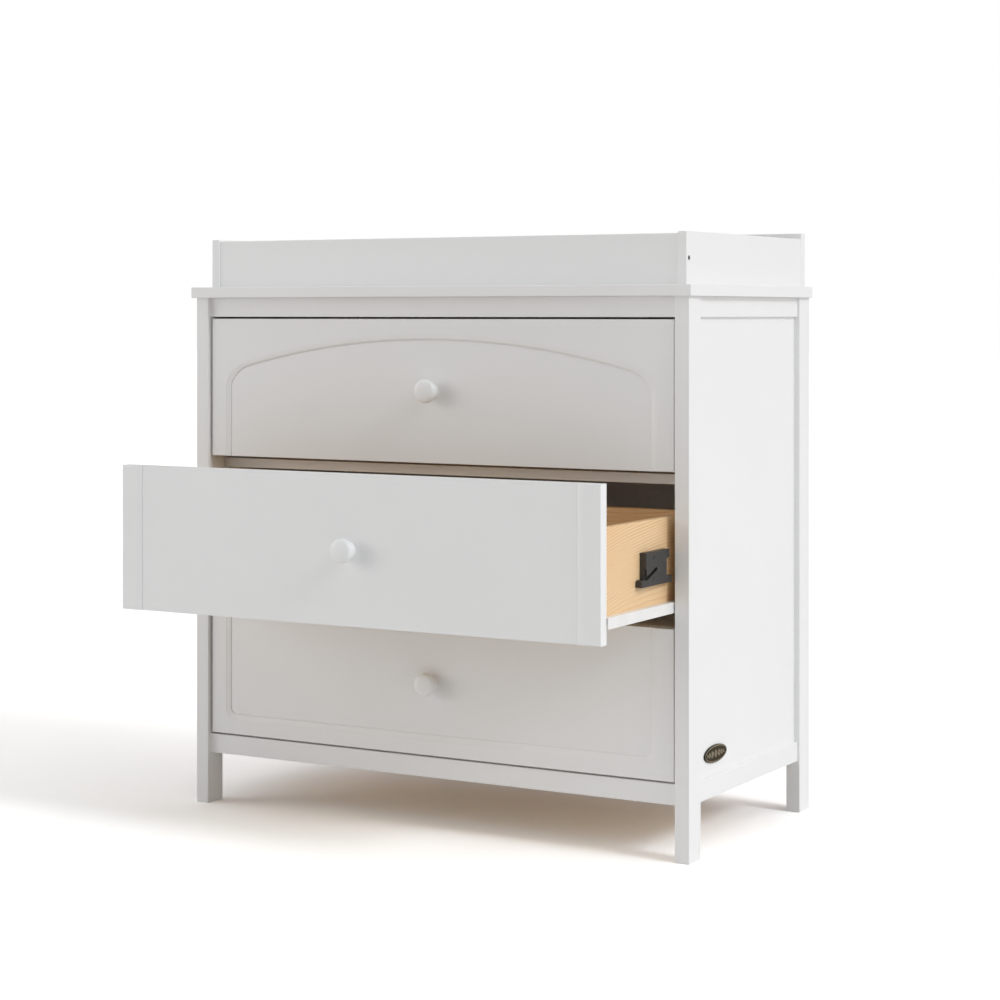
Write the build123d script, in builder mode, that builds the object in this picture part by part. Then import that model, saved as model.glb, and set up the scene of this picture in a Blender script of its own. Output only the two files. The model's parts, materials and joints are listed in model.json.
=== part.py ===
from build123d import *
import math
import os

# Changing table: a three-drawer cabinet on four posts with a changing topper.
# Millimetres. +X is the viewer's right when facing the drawers, -Y is the front,
# +Z is up. The floor is Z = 0. In the script, "fy(v)" is a depth measured
# backwards from the front plane of the posts. The middle drawer stands open.

# ---- driving dimensions ------------------------------------------------------
WIDTH = 880.0            # over the posts
DEPTH = 447.0            # over the posts
POST_W = 23.2            # post width, along X
POST_D = 39.5            # post depth, along Y
POST_TOP = 815.5         # underside of the tabletop
TOP_T = 17.0             # tabletop thickness
TOP_SIDE = 6.0           # tabletop overhang at the sides
TOP_FRONT = 7.0          # tabletop overhang at the front
RAIL_H = 30.5            # height of every rail
RAIL_BOTTOM = 81.0       # underside of the bottom rails
RAIL_SET = 7.5           # front rails stand back from the posts
RAIL_T = 18.0            # front and rear rail thickness
SIDE_SET = 4.2           # side rails stand back from the posts' outer faces
PANEL_SET = 9.5          # side panels stand back from the posts' outer faces
PANEL_T = 6.0            # side panel thickness
TONGUE = 6.0             # panel tongue in the grooves
EDGE = 1.2               # small rounding on painted edges

FRONT_H = 220.5          # drawer front height
FRONT_GAP = 3.0          # gap above and below each front
FRONT_SIDE_GAP = 4.0     # gap at each side of a front
FRONT_T = 17.5
FRONT_SET = 5.5          # fronts stand back from the posts
FIELD_DEPTH = 2.5        # recessed field in the fronts
FIELD_HALF = 375.0       # half width of the field at its inner line
FIELD_BAND = 10.0        # width of the rounded band round the field
ARCH_APEX = 751.0        # height of the arch's inner line at the middle
ARCH_R = 1370.0
ARCH_CORNER = 25.0
FIELD_FOOT = 147.7       # inner line along the bottom of the field
FOOT_CORNER = 9.0

BOX_SIDE_OUT = 404.1     # drawer side's outer face from the middle
BOX_T = 12.0             # drawer side and back thickness
BOX_BACK = 357.0         # rear face of the drawer box when shut
BOX_Z0 = 22.4            # underside of the drawer sides above the front's underside
BOX_Z1 = 159.0           # top of the drawer sides above the front's underside
BOTTOM_Z = 34.4          # underside of the bottom panel above the front's underside
BOTTOM_T = 4.0
TRAVEL_OPEN = 227.7      # how far the middle drawer stands open

ROLLER_R = 7.0
ROLLER_W = 5.0
AXLE_R = 2.0
BORE_R = 2.05
STEEL_T = 1.2            # runner sheet thickness

TOPPER_T = 14.0          # topper front and side boards
TOPPER_IN = 14.8         # side boards stand in from the posts' outer faces
TOPPER_Y = 22.0          # front ends of the side boards
TOPPER_FACE = 24.0       # front face of the topper's front board
TOPPER_FRONT_Z = 907.0
TOPPER_SIDE_Z = 909.6
TOPPER_BACK_Z = 918.4
TOPPER_BACK_T = 16.0
TOPPER_BACK_LOW = 785.0

KNOB_OUT = 24.0          # knob projection from the field

# ---- derived -----------------------------------------------------------------
HALF = WIDTH / 2
INNER = HALF - POST_W                        # posts' inner faces
RAIL_OUT = HALF - SIDE_SET                   # side rails' outer faces
PANEL_OUT = HALF - PANEL_SET
PANEL_IN = PANEL_OUT - PANEL_T
TOP_RAIL_Z = POST_TOP - RAIL_H
RAIL_TOP = RAIL_BOTTOM + RAIL_H
PITCH = FRONT_H + FRONT_GAP
FRONT_HALF = INNER - FRONT_SIDE_GAP
FIRST_Z = RAIL_TOP + FRONT_GAP
FIELD_Y = FRONT_SET + FIELD_DEPTH
# the origin is under the middle of the whole object's box as it stands
ORIGIN_Y = ((FIELD_Y - KNOB_OUT - TRAVEL_OPEN) + (DEPTH + TOPPER_BACK_T)) / 2

DRAWERS = [
    ("bottom", FIRST_Z, 0.0),
    ("middle", FIRST_Z + PITCH, -TRAVEL_OPEN),
    ("top", FIRST_Z + 2 * PITCH, 0.0),
]

os.makedirs("parts", exist_ok=True)


def fy(v):
    """A depth behind the posts' front plane, in the part's frame."""
    return v - ORIGIN_Y


def save(builder, name):
    builder.part.label = name
    export_step(builder.part, f"parts/{name}.step")


def block(x0, x1, y0, y1, z0, z1, mode=Mode.ADD):
    """A rectangular block in the current part; y0 and y1 are depths behind the posts' front."""
    with Locations(((x0 + x1) / 2, fy((y0 + y1) / 2), (z0 + z1) / 2)):
        Box(abs(x1 - x0), abs(y1 - y0), abs(z1 - z0), mode=mode)


def rod(x, y, z, direction, radius, length, mode=Mode.ADD):
    """A round rod or hole in the current part, starting at a point."""
    with Locations(Plane(origin=(x, fy(y), z), z_dir=direction)):
        Cylinder(radius, length, align=(Align.CENTER, Align.CENTER, Align.MIN), mode=mode)


def screw(x, y, z, direction, shank_r, length, head_r, head_h, hex_r=0.0, sunk=False):
    """A screw from its head's seat along its shank, with the head behind the seat."""
    back = tuple(-c for c in direction)
    rod(x, y, z, direction, shank_r, length)
    if sunk:
        with Locations(Plane(origin=(x, fy(y), z), z_dir=direction)):
            Cone(head_r, shank_r, head_h, align=(Align.CENTER, Align.CENTER, Align.MIN))
    else:
        rod(x, y, z, back, head_r, head_h)
        if hex_r:
            rod(x + back[0] * head_h, y + back[1] * head_h, z + back[2] * head_h, direction,
                hex_r, head_h * 0.7, Mode.SUBTRACT)


# ---- dowels in the frame joints: (x, depth, z, direction, half length) ---------
DOWEL_R = 4.0
DOWEL_HALF = 15.0
DOWEL_Z = [RAIL_BOTTOM + 7.0, RAIL_BOTTOM + 18.0, TOP_RAIL_Z + 12.0, TOP_RAIL_Z + 23.0]
FRONT_RAIL_Y = RAIL_SET + RAIL_T / 2
REAR_RAIL_Y = DEPTH - 5.0 - RAIL_T / 2
SIDE_RAIL_X = (INNER + RAIL_OUT) / 2
X_DOWELS = [(s * (INNER - DOWEL_HALF), y, z, s) for s in (-1, 1)
            for y in (FRONT_RAIL_Y, REAR_RAIL_Y) for z in DOWEL_Z]
Y_DOWELS = [(s * SIDE_RAIL_X, y - DOWEL_HALF, z) for s in (-1, 1)
            for y in (POST_D, DEPTH - POST_D) for z in DOWEL_Z]


def cut_dowels():
    """Take the dowel holes that this piece holds."""
    for x, y, z, s in X_DOWELS:
        rod(x, y, z, (s, 0, 0), DOWEL_R, 2 * DOWEL_HALF, Mode.SUBTRACT)
    for x, y, z in Y_DOWELS:
        rod(x, y, z, (0, 1, 0), DOWEL_R, 2 * DOWEL_HALF, Mode.SUBTRACT)


with BuildPart() as frame_dowels:
    for dx, dy, dz, ds in X_DOWELS:
        rod(dx, dy, dz, (ds, 0, 0), DOWEL_R, 2 * DOWEL_HALF)
    for dx, dy, dz in Y_DOWELS:
        rod(dx, dy, dz, (0, 1, 0), DOWEL_R, 2 * DOWEL_HALF)
save(frame_dowels, "frame_dowels")

# ---- posts ---------------------------------------------------------------------
for side, sx in (("left", -1), ("right", 1)):
    for end, y0 in (("front", 0.0), ("rear", DEPTH - POST_D)):
        with BuildPart() as post:
            block(sx * INNER, sx * HALF, y0, y0 + POST_D, 0, POST_TOP)
            fillet(post.edges().filter_by(Axis.Z), EDGE)
            chamfer(post.faces().sort_by(Axis.Z)[0].edges(), 0.8)
            # groove for the side panel
            g0 = POST_D - TONGUE if end == "front" else y0
            block(sx * PANEL_IN, sx * PANEL_OUT, g0, g0 + TONGUE,
                  RAIL_TOP - TONGUE, TOP_RAIL_Z + TONGUE, Mode.SUBTRACT)
            cut_dowels()
        save(post, f"{end}_{side}_post")

# ---- side frames ---------------------------------------------------------------
for side, sx in (("left", -1), ("right", 1)):
    for level, z0 in (("bottom", RAIL_BOTTOM), ("top", TOP_RAIL_Z)):
        with BuildPart() as side_rail:
            block(sx * INNER, sx * RAIL_OUT, POST_D, DEPTH - POST_D, z0, z0 + RAIL_H)
            outer_edges = side_rail.edges().filter_by(Axis.Y).sort_by(Axis.X)
            fillet(outer_edges[-2:] if sx > 0 else outer_edges[:2], 0.8)
            g0 = z0 + RAIL_H - TONGUE if level == "bottom" else z0
            block(sx * PANEL_IN, sx * PANEL_OUT, POST_D, DEPTH - POST_D, g0, g0 + TONGUE, Mode.SUBTRACT)
            cut_dowels()
        save(side_rail, f"{side}_{level}_rail")
    with BuildPart() as side_panel:
        block(sx * PANEL_IN, sx * PANEL_OUT, POST_D - TONGUE, DEPTH - POST_D + TONGUE,
              RAIL_TOP - TONGUE, TOP_RAIL_Z + TONGUE)
    save(side_panel, f"{side}_side_panel")

# ---- front and rear rails, back panel --------------------------------------------
TOP_SCREW_X = [-300.0, 0.0, 300.0]
BACK_SCREW_X = [-380.0, -130.0, 130.0, 380.0]
for name, z0 in (("front_bottom_rail", RAIL_BOTTOM), ("front_top_rail", TOP_RAIL_Z)):
    with BuildPart() as front_rail:
        block(-INNER, INNER, RAIL_SET, RAIL_SET + RAIL_T, z0, z0 + RAIL_H)
        fillet(front_rail.edges().filter_by(Axis.X).sort_by(Axis.Y)[:2], 0.8)
        cut_dowels()
        if name == "front_top_rail":
            for x in TOP_SCREW_X:
                rod(x, FRONT_RAIL_Y, z0, (0, 0, 1), 4.6, 4.0, Mode.SUBTRACT)
                rod(x, FRONT_RAIL_Y, z0, (0, 0, 1), 2.5, RAIL_H, Mode.SUBTRACT)
    save(front_rail, name)

with BuildPart() as rear_rails:
    for z0 in (RAIL_BOTTOM, TOP_RAIL_Z):
        block(-INNER, INNER, REAR_RAIL_Y - RAIL_T / 2, REAR_RAIL_Y + RAIL_T / 2, z0, z0 + RAIL_H)
    cut_dowels()
    for x in TOP_SCREW_X:
        rod(x, REAR_RAIL_Y, TOP_RAIL_Z, (0, 0, 1), 4.6, 4.0, Mode.SUBTRACT)
        rod(x, REAR_RAIL_Y, TOP_RAIL_Z, (0, 0, 1), 2.5, RAIL_H, Mode.SUBTRACT)
save(rear_rails, "rear_rails")

with BuildPart() as back_panel:
    block(-INNER, INNER, DEPTH - 5.0, DEPTH - 1.0, RAIL_BOTTOM, POST_TOP)
save(back_panel, "back_panel")

# ---- divider rails between the drawers -------------------------------------------
DIVIDER_Y0, DIVIDER_Y1, DIVIDER_T = 53.5, 113.5, 15.0
DIVIDER_Z = [316.8, 540.3]
with BuildPart() as drawer_dividers:
    for z0 in DIVIDER_Z:
        block(-PANEL_IN, PANEL_IN, DIVIDER_Y0, DIVIDER_Y1, z0, z0 + DIVIDER_T)
    fillet(drawer_dividers.edges().filter_by(Axis.X).filter_by(
        lambda e: abs(e.center().Y - fy(DIVIDER_Y0)) < 0.01), 0.8)
save(drawer_dividers, "drawer_dividers")

# ---- interlock on the right wall: an upright track with a lifting rod ----------------
TRACK_Y0, TRACK_Y1 = 133.0, 153.0
TRACK_Z0, TRACK_Z1 = 166.0, 694.0
PIN_Y = 143.2
PIN_Z = 90.9              # follower pin above the front's underside, rod lifted
ROD_LIFT = 12.3

with BuildPart() as interlock_track:
    block(PANEL_IN - 1.5, PANEL_IN, TRACK_Y0, TRACK_Y1, TRACK_Z0, TRACK_Z1)
    block(INNER + 0.3, PANEL_IN, TRACK_Y0, TRACK_Y0 + 1.5, TRACK_Z0, TRACK_Z1)
    block(INNER + 0.3, PANEL_IN, TRACK_Y1 - 1.5, TRACK_Y1, TRACK_Z0, TRACK_Z1)
    block(INNER + 0.3, INNER + 1.5, TRACK_Y0, TRACK_Y0 + 4.5, TRACK_Z0, TRACK_Z1)
    block(INNER + 0.3, INNER + 1.5, TRACK_Y1 - 4.5, TRACK_Y1, TRACK_Z0, TRACK_Z1)
save(interlock_track, "interlock_track")

with BuildPart() as interlock_rod:
    block(INNER + 1.8, PANEL_IN - 1.9, TRACK_Y0 + 1.8, TRACK_Y1 - 1.8, TRACK_Z0 + 14.0, TRACK_Z1 - 14.0)
    for _, zb, _ in DRAWERS:
        rod(BOX_SIDE_OUT + 10.7, PIN_Y, zb + PIN_Z, (1, 0, 0), 2.2, INNER + 3.0 - BOX_SIDE_OUT - 10.7)
save(interlock_rod, "interlock_rod")

# ---- cleats on the side panels, flush with the posts ---------------------------------
with BuildPart() as side_cleats:
    for sx in (-1, 1):
        for _, zb, _ in DRAWERS:
            if sx > 0:
                block(INNER, PANEL_IN, POST_D, TRACK_Y0, zb + 7.0, zb + 52.0)
                block(INNER, PANEL_IN, TRACK_Y1, DEPTH - POST_D, zb + 7.0, zb + 52.0)
            else:
                block(-PANEL_IN, -INNER, POST_D, DEPTH - POST_D, zb + 7.0, zb + 52.0)
        for z0 in DIVIDER_Z:
            block(sx * INNER, sx * PANEL_IN, DIVIDER_Y0, DIVIDER_Y1, z0 - 18.0, z0)
save(side_cleats, "side_cleats")

# ---- roller runners --------------------------------------------------------------
# A sheet-steel drawer member wraps the foot of each drawer side and forms an inverted
# channel outside it. The cabinet member is a J on the wall whose front ear carries a
# roller under that channel; the drawer member's rear roller runs on the J's flange.
RUN_LOW = 16.0            # cabinet flange's underside above the front's underside
FLANGE_TOP = RUN_LOW + STEEL_T
MEMBER_LOW = BOX_Z0 - STEEL_T
MEMBER_TOP = 37.0
EAR_X0 = BOX_SIDE_OUT + 1.5
EAR_X1 = EAR_X0 + STEEL_T
ROLL_X0 = EAR_X1 + 0.5
LIP_X1 = INNER - 1.8      # drawer member's outer lip, outer face
LIP_X0 = LIP_X1 - STEEL_T
FRONT_ROLL_Y, FRONT_ROLL_Z = 34.0, MEMBER_TOP - STEEL_T - 0.3 - ROLLER_R
REAR_ROLL_Y, REAR_ROLL_Z = 365.0, FLANGE_TOP + 0.3 + ROLLER_R
MEMBER_Y0, MEMBER_Y1 = FRONT_SET + FRONT_T + 0.5, 357.0

with BuildPart() as cabinet_runners:
    for _, zb, _ in DRAWERS:
        for sx in (-1, 1):
            a0 = zb + RUN_LOW
            block(sx * (INNER - STEEL_T), sx * INNER, 26.0, 374.0, a0, a0 + 30.0)
            block(sx * EAR_X0, sx * INNER, 26.0, 374.0, a0, a0 + STEEL_T)
            block(sx * EAR_X0, sx * EAR_X1, 42.0, 374.0, a0, a0 + 4.4)
            block(sx * EAR_X0, sx * EAR_X1, 26.0, 42.0, a0, a0 + 18.6)
            # end stop and front stop for the rear roller
            block(sx * EAR_X0, sx * INNER, 372.8, 374.0, a0, a0 + 12.0)
            block(sx * (ROLL_X0 + 1.0), sx * (ROLL_X0 + 4.0), 92.5, 95.0, a0, a0 + 4.0)
            # riveted axle
            rod(sx * EAR_X0, FRONT_ROLL_Y, zb + FRONT_ROLL_Z, (sx, 0, 0), AXLE_R, 7.7)
            rod(sx * (ROLL_X0 + ROLLER_W + 0.3), FRONT_ROLL_Y, zb + FRONT_ROLL_Z, (sx, 0, 0), 3.2, 0.7)
save(cabinet_runners, "cabinet_runners")

# ---- tabletop ----------------------------------------------------------------------
TOP_Z = POST_TOP + TOP_T
with BuildPart() as tabletop:
    block(-HALF - TOP_SIDE, HALF + TOP_SIDE, -TOP_FRONT, DEPTH, POST_TOP, TOP_Z)
    fillet(tabletop.edges().filter_by(Axis.Z), 1.5)
    fillet(tabletop.faces().sort_by(Axis.Z)[-1].edges(), 1.2)
    fillet(tabletop.faces().sort_by(Axis.Z)[0].edges(), 1.2)
    for x in TOP_SCREW_X:
        for y in (FRONT_RAIL_Y, REAR_RAIL_Y):
            rod(x, y, POST_TOP, (0, 0, 1), 2.5, 10.0, Mode.SUBTRACT)
    for x in BACK_SCREW_X:
        rod(x, DEPTH, POST_TOP + TOP_T / 2, (0, -1, 0), 2.5, 30.0, Mode.SUBTRACT)
save(tabletop, "tabletop")

# ---- topper --------------------------------------------------------------------------
BOARD_OUT = HALF - TOPPER_IN
BOARD_IN = BOARD_OUT - TOPPER_T
TOPPER_SCREW_Z = 871.0
TOPPER_SCREW_Y = TOPPER_FACE + TOPPER_T / 2
SINK = 3.0                # depth of the bolt heads' counterbores
HEAD_R = 3.5
SINK_R = 3.75

with BuildPart() as topper_front_board:
    block(-BOARD_IN, BOARD_IN, TOPPER_FACE, TOPPER_FACE + TOPPER_T, TOP_Z, TOPPER_FRONT_Z)
    fillet(topper_front_board.edges().filter_by(Axis.X).sort_by(Axis.Z)[-2:], 1.0)
    for sx in (-1, 1):
        rod(sx * BOARD_IN, TOPPER_SCREW_Y, TOPPER_SCREW_Z, (-sx, 0, 0), 2.5, 34.0, Mode.SUBTRACT)
save(topper_front_board, "topper_front_board")

for side, sx in (("left", -1), ("right", 1)):
    with BuildPart() as topper_side_board:
        block(sx * BOARD_IN, sx * BOARD_OUT, TOPPER_Y, DEPTH, TOP_Z, TOPPER_SIDE_Z)
        fillet(topper_side_board.edges().filter_by(Axis.Y).sort_by(Axis.Z)[-2:], 1.0)
        fillet(topper_side_board.edges().filter_by(Axis.Z).sort_by(Axis.Y)[:2], 1.0)
        rod(sx * BOARD_OUT, TOPPER_SCREW_Y, TOPPER_SCREW_Z, (-sx, 0, 0), SINK_R, SINK, Mode.SUBTRACT)
        rod(sx * BOARD_OUT, TOPPER_SCREW_Y, TOPPER_SCREW_Z, (-sx, 0, 0), 2.5, TOPPER_T, Mode.SUBTRACT)
        rod(sx * (BOARD_IN + TOPPER_T / 2), DEPTH, TOPPER_SCREW_Z, (0, -1, 0), 2.5, 34.0, Mode.SUBTRACT)
    save(topper_side_board, f"topper_{side}_board")

BACK_REAR = DEPTH + TOPPER_BACK_T
with BuildPart() as topper_back_board:
    block(-BOARD_OUT - 0.8, BOARD_OUT + 0.8, DEPTH, BACK_REAR, TOPPER_BACK_LOW, TOPPER_BACK_Z)
    fillet(topper_back_board.edges().filter_by(Axis.X).sort_by(Axis.Z)[-2:], 1.0)
    fillet(topper_back_board.edges().filter_by(Axis.Z), 1.0)
    back_screws = [(sx * (BOARD_IN + TOPPER_T / 2), TOPPER_SCREW_Z) for sx in (-1, 1)]
    back_screws += [(x, POST_TOP + TOP_T / 2) for x in BACK_SCREW_X]
    for x, z in back_screws:
        rod(x, BACK_REAR, z, (0, -1, 0), SINK_R, SINK, Mode.SUBTRACT)
        rod(x, BACK_REAR, z, (0, -1, 0), 2.5, TOPPER_BACK_T, Mode.SUBTRACT)
    # pilot holes for a wall strap
    for x in (-200.0, 200.0):
        rod(x, BACK_REAR, 850.0, (0, -1, 0), 1.5, 12.0, Mode.SUBTRACT)
save(topper_back_board, "topper_back_board")

with BuildPart() as top_screws:
    for sx in (-1, 1):
        screw(sx * (BOARD_OUT - SINK), TOPPER_SCREW_Y, TOPPER_SCREW_Z, (-sx, 0, 0), 2.5, 44.0, HEAD_R, 2.2, 1.7)
    for x, z in back_screws:
        screw(x, BACK_REAR - SINK, z, (0, -1, 0), 2.5, 40.0, HEAD_R, 2.2, 1.7)
    for x in TOP_SCREW_X:
        for y in (FRONT_RAIL_Y, REAR_RAIL_Y):
            screw(x, y, TOP_RAIL_Z + 4.0, (0, 0, 1), 2.5, RAIL_H + 4.0, 4.3, 2.5, 1.7)
save(top_screws, "top_screws")

# ---- oval badge with a generic relief ----------------------------------------------------
BADGE_Y, BADGE_Z, BADGE_A, BADGE_B = 107.0, 142.0, 38.5, 13.0
with BuildPart() as oval_badge:
    with BuildSketch(Plane(origin=(PANEL_OUT, fy(BADGE_Y), BADGE_Z), x_dir=(0, 1, 0), z_dir=(1, 0, 0))):
        Ellipse(BADGE_A, BADGE_B)
    extrude(amount=2.4)
    fillet(oval_badge.faces().sort_by(Axis.X)[-1].edges(), 0.7)
    with BuildSketch(Plane(origin=(PANEL_OUT + 2.4, fy(BADGE_Y), BADGE_Z), x_dir=(0, 1, 0), z_dir=(1, 0, 0))):
        Ellipse(BADGE_A - 3.2, BADGE_B - 2.6)
    extrude(amount=-0.9, mode=Mode.SUBTRACT)
    with BuildSketch(Plane(origin=(PANEL_OUT + 1.4, fy(BADGE_Y), BADGE_Z), x_dir=(0, 1, 0), z_dir=(1, 0, 0))):
        # a plain sprig: a centre lozenge and paired leaves
        with Locations((0, 0)):
            Ellipse(4.2, 5.6)
        for k, (lx, a, b) in enumerate(((10.5, 5.0, 2.6), (19.5, 4.2, 2.0), (27.0, 3.0, 1.3))):
            for s in (-1, 1):
                with Locations((s * lx, 1.6 - 0.4 * k)):
                    Ellipse(a, b, rotation=s * 22)
                with Locations((s * (lx + 1.0), -2.2 + 0.5 * k)):
                    Ellipse(a * 0.9, b * 0.9, rotation=-s * 18)
    extrude(amount=0.7)
save(oval_badge, "oval_badge")

# ---- drawers ---------------------------------------------------------------------------
SIDE_IN = BOX_SIDE_OUT - BOX_T
FRONT_BACK = FRONT_SET + FRONT_T
BAND_R = (FIELD_BAND ** 2 + FIELD_DEPTH ** 2) / (2 * FIELD_DEPTH)
STEPS = [0.0, 2.5, 5.0, 7.5, FIELD_BAND]
CORNER_X = FIELD_HALF - ARCH_CORNER
ARCH_Z = ARCH_APEX - ARCH_R
CORNER_Z = ARCH_Z + math.sqrt((ARCH_R - ARCH_CORNER) ** 2 - CORNER_X ** 2)
CORNER_ANGLE = math.atan2(CORNER_Z - ARCH_Z, CORNER_X)

for name, zb, shift in DRAWERS:
    front_plane_y = FRONT_SET + shift
    zm = zb + FRONT_H / 2

    # front, with its share of the arched field
    with BuildPart() as drawer_front:
        block(-FRONT_HALF, FRONT_HALF, front_plane_y, front_plane_y + FRONT_T, zb, zb + FRONT_H)
        fillet(drawer_front.faces().sort_by(Axis.Y)[0].edges(), EDGE)
        for s in STEPS:
            w = FIELD_BAND - s
            depth = BAND_R - math.sqrt(BAND_R ** 2 - s ** 2)
            hx = FIELD_HALF + w
            with BuildSketch(Plane(origin=(0, fy(front_plane_y + depth), 0), x_dir=(1, 0, 0), z_dir=(0, -1, 0))):
                with BuildLine():
                    if name == "top":
                        low = zb - 4.0
                        rc = ARCH_CORNER + w
                        tip = (CORNER_X + rc * math.cos(CORNER_ANGLE), CORNER_Z + rc * math.sin(CORNER_ANGLE))
                        half = (CORNER_X + rc * math.cos(CORNER_ANGLE / 2), CORNER_Z + rc * math.sin(CORNER_ANGLE / 2))
                        Line((-hx, low), (hx, low))
                        Line((hx, low), (hx, CORNER_Z))
                        ThreePointArc((hx, CORNER_Z), half, tip)
                        ThreePointArc(tip, (0, ARCH_APEX + w), (-tip[0], tip[1]))
                        ThreePointArc((-tip[0], tip[1]), (-half[0], half[1]), (-hx, CORNER_Z))
                        Line((-hx, CORNER_Z), (-hx, low))
                    elif name == "middle":
                        Polyline((-hx, zb - 4.0), (hx, zb - 4.0), (hx, zb + FRONT_H + 4.0),
                                 (-hx, zb + FRONT_H + 4.0), close=True)
                    else:
                        high = zb + FRONT_H + 4.0
                        rc = FOOT_CORNER + w
                        cx, cz = FIELD_HALF - FOOT_CORNER, FIELD_FOOT + FOOT_CORNER
                        k = rc * math.sqrt(0.5)
                        Line((hx, high), (-hx, high))
                        Line((-hx, high), (-hx, cz))
                        ThreePointArc((-hx, cz), (-cx - k, cz - k), (-cx, cz - rc))
                        Line((-cx, cz - rc), (cx, cz - rc))
                        ThreePointArc((cx, cz - rc), (cx + k, cz - k), (hx, cz))
                        Line((hx, cz), (hx, high))
                make_face()
        loft(ruled=True, mode=Mode.SUBTRACT)
        # groove for the bottom panel, knob bolt hole and dowel holes
        block(-SIDE_IN - 5.0, SIDE_IN + 5.0, FRONT_BACK + shift - 5.0, FRONT_BACK + shift,
              zb + BOTTOM_Z, zb + BOTTOM_Z + BOTTOM_T, Mode.SUBTRACT)
        rod(0, FRONT_BACK + shift, zm, (0, -1, 0), 2.1, FRONT_T, Mode.SUBTRACT)
        for sx in (-1, 1):
            for dz in (58.0, 132.0):
                rod(sx * (BOX_SIDE_OUT - BOX_T / 2), FRONT_BACK + shift, zb + dz, (0, -1, 0), 3.0, 9.0, Mode.SUBTRACT)
    save(drawer_front, f"{name}_drawer_front")

    # knob: a turned button on a short waist
    with BuildPart() as knob:
        with BuildSketch(Plane(origin=(0, fy(FIELD_Y + shift), zm), x_dir=(1, 0, 0), z_dir=(0, 0, 1))) as knob_profile:
            with BuildLine():
                Line((0, 0), (13.5, 0))
                Line((13.5, 0), (13.5, -1.5))
                Spline((13.5, -1.5), (12.4, -6.0), (14.6, -10.0), (18.2, -13.6), (18.2, -17.6),
                       (15.8, -21.9), tangents=((-0.25, -1), (-0.9, -1)))
                Spline((15.8, -21.9), (9.0, -23.7), (0, -KNOB_OUT), tangents=((-0.9, -1), (-1, 0)))
                Line((0, -KNOB_OUT), (0, 0))
            make_face()
        revolve(axis=Axis((0, fy(FIELD_Y + shift), zm), (0, 1, 0)))
        rod(0, FIELD_Y + shift, zm, (0, -1, 0), 2.0, 15.0, Mode.SUBTRACT)
    save(knob, f"{name}_drawer_knob")

    # sides
    for side, sx in (("left", -1), ("right", 1)):
        with BuildPart() as drawer_side:
            block(sx * SIDE_IN, sx * BOX_SIDE_OUT, FRONT_BACK + shift, BOX_BACK + shift, zb + BOX_Z0, zb + BOX_Z1)
            fillet(drawer_side.edges().filter_by(Axis.Y).sort_by(Axis.Z)[-2:], 1.5)
            block(sx * SIDE_IN, sx * (SIDE_IN + 5.0), FRONT_BACK + shift, BOX_BACK - BOX_T + 5.0 + shift,
                  zb + BOTTOM_Z, zb + BOTTOM_Z + BOTTOM_T, Mode.SUBTRACT)
            for dz in (58.0, 132.0):
                rod(sx * (BOX_SIDE_OUT - BOX_T / 2), FRONT_BACK + shift, zb + dz, (0, 1, 0), 3.0, 19.0, Mode.SUBTRACT)
                with Locations(Plane(origin=(sx * BOX_SIDE_OUT, fy(BOX_BACK - BOX_T / 2 + shift), zb + dz), z_dir=(-sx, 0, 0))):
                    Cone(3.6, 1.75, 2.2, align=(Align.CENTER, Align.CENTER, Align.MIN), mode=Mode.SUBTRACT)
                rod(sx * BOX_SIDE_OUT, BOX_BACK - BOX_T / 2 + shift, zb + dz, (-sx, 0, 0), 1.75, BOX_T, Mode.SUBTRACT)
            for y in (60.0, 320.0):
                rod(sx * (BOX_SIDE_OUT - BOX_T / 2), y + shift, zb + BOX_Z0, (0, 0, 1), 1.75, 11.0, Mode.SUBTRACT)
            if sx > 0:
                for z in (77.3, 108.3):
                    rod(BOX_SIDE_OUT, 163.2 + shift, zb + z, (-1, 0, 0), 1.5, 9.0, Mode.SUBTRACT)
        save(drawer_side, f"{name}_drawer_{side}_side")

    # back
    with BuildPart() as drawer_back:
        block(-SIDE_IN, SIDE_IN, BOX_BACK - BOX_T + shift, BOX_BACK + shift, zb + BOX_Z0, zb + BOX_Z1)
        fillet(drawer_back.edges().filter_by(Axis.X).sort_by(Axis.Z)[-2:], 1.5)
        block(-SIDE_IN, SIDE_IN, BOX_BACK - BOX_T + shift, BOX_BACK - BOX_T + 5.0 + shift,
              zb + BOTTOM_Z, zb + BOTTOM_Z + BOTTOM_T, Mode.SUBTRACT)
        for sx in (-1, 1):
            for dz in (58.0, 132.0):
                rod(sx * SIDE_IN, BOX_BACK - BOX_T / 2 + shift, zb + dz, (-sx, 0, 0), 1.75, 24.0, Mode.SUBTRACT)
    save(drawer_back, f"{name}_drawer_back")

    # bottom panel in its grooves
    with BuildPart() as drawer_bottom:
        block(-SIDE_IN - 5.0, SIDE_IN + 5.0, FRONT_BACK - 5.0 + shift, BOX_BACK - BOX_T + 5.0 + shift,
              zb + BOTTOM_Z, zb + BOTTOM_Z + BOTTOM_T)
    save(drawer_bottom, f"{name}_drawer_bottom")

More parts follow.
